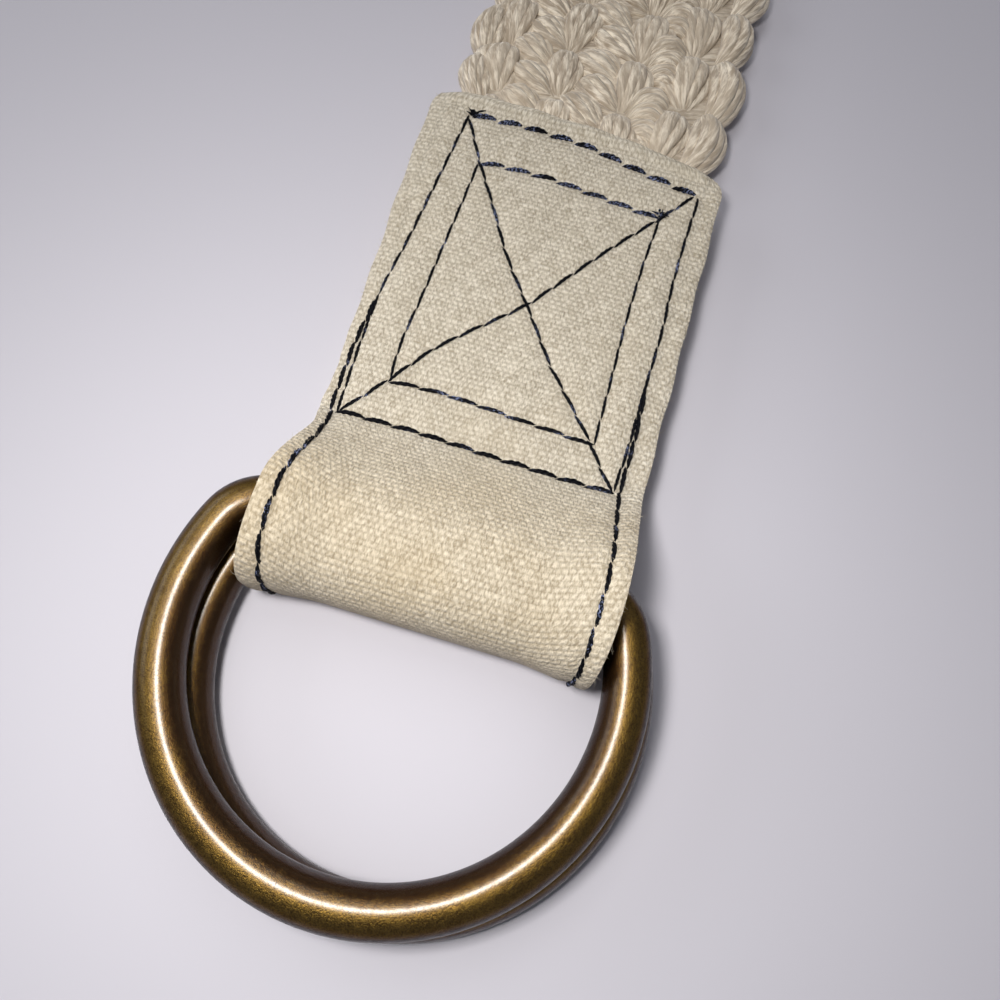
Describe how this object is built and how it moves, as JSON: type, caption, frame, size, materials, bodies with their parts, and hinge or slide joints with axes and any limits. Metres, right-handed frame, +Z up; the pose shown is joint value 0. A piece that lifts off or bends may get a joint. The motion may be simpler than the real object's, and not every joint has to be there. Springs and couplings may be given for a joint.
{
  "type": "d-ring belt",
  "caption": "Crocheted cotton strap belt with a folded canvas end tab that holds a stacked pair of antique brass D-rings.",
  "frame": {"origin": "middle of the belt's box, on the surface that it lies on", "axes": "+X along the belt from the rings to the free end, +Z up from the surface"},
  "size_m": [1.0048, 0.0626, 0.0188],
  "materials": {
    "cotton_yarn": "matt plied cotton yarn, crocheted",
    "canvas": "matt plain weave cotton canvas",
    "antique_brass": "antiqued satin, darker at the sides"
  },
  "bodies": {
    "belt": {"crochet_strap": "cotton_yarn", "canvas_tab": "canvas"},
    "upper_ring": {"d_ring_upper": "antique_brass"},
    "lower_ring": {"d_ring_lower": "antique_brass"}
  },
  "joints": [
    {"name": "upper_ring_swing", "type": "hinge", "parent": "belt", "child": "upper_ring", "pos_m": [-0.45719, 0.0009, 0.01096], "axis": [0, 1, 0], "range_deg": [0, 60]},
    {"name": "lower_ring_swing", "type": "hinge", "parent": "belt", "child": "lower_ring", "pos_m": [-0.45819, -0.0009, 0.00488], "axis": [0, 1, 0], "range_deg": [0, 30]}
  ],
  "couplings": [
    {"joint": "lower_ring_swing", "follows": "upper_ring_swing", "ratio": 0.5}
  ]
}
